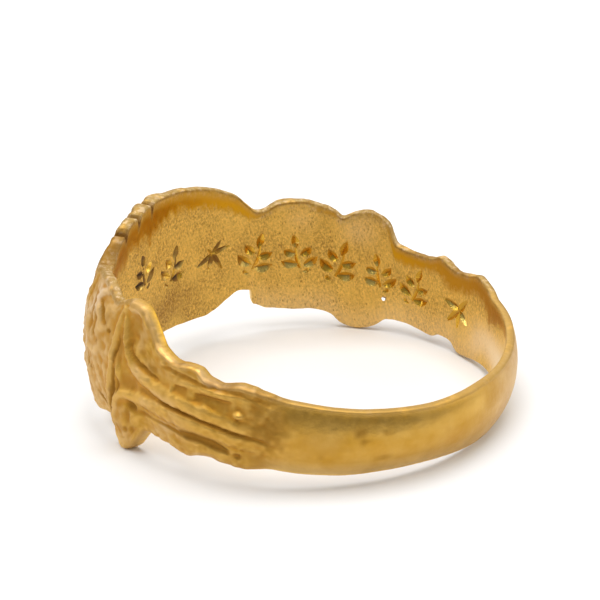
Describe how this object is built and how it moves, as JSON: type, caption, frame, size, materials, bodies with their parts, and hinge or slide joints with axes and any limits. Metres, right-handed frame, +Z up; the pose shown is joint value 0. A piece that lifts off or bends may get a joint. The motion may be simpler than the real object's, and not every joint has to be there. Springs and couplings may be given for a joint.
{
  "type": "fede ring",
  "caption": "Cast gold finger ring with clasped hands on the bezel, scalloped cuffs, ridged shoulders and a plain rounded hoop.",
  "frame": {"origin": "under the middle of the ring's box, on the surface that the ring lies on", "axes": "+Z up, -Y towards the bezel with the clasped hands, +Y towards the plain hoop, X across the ring; the hoop's axis leans a little from +Z because the ring lies on three points of its lower edge"},
  "size_m": [0.019, 0.0188, 0.0088],
  "materials": {
    "gold": "worn satin gold, matte inside, with dark soil in the recesses"
  },
  "bodies": {
    "root": {"ring": "gold"}
  },
  "joints": []
}
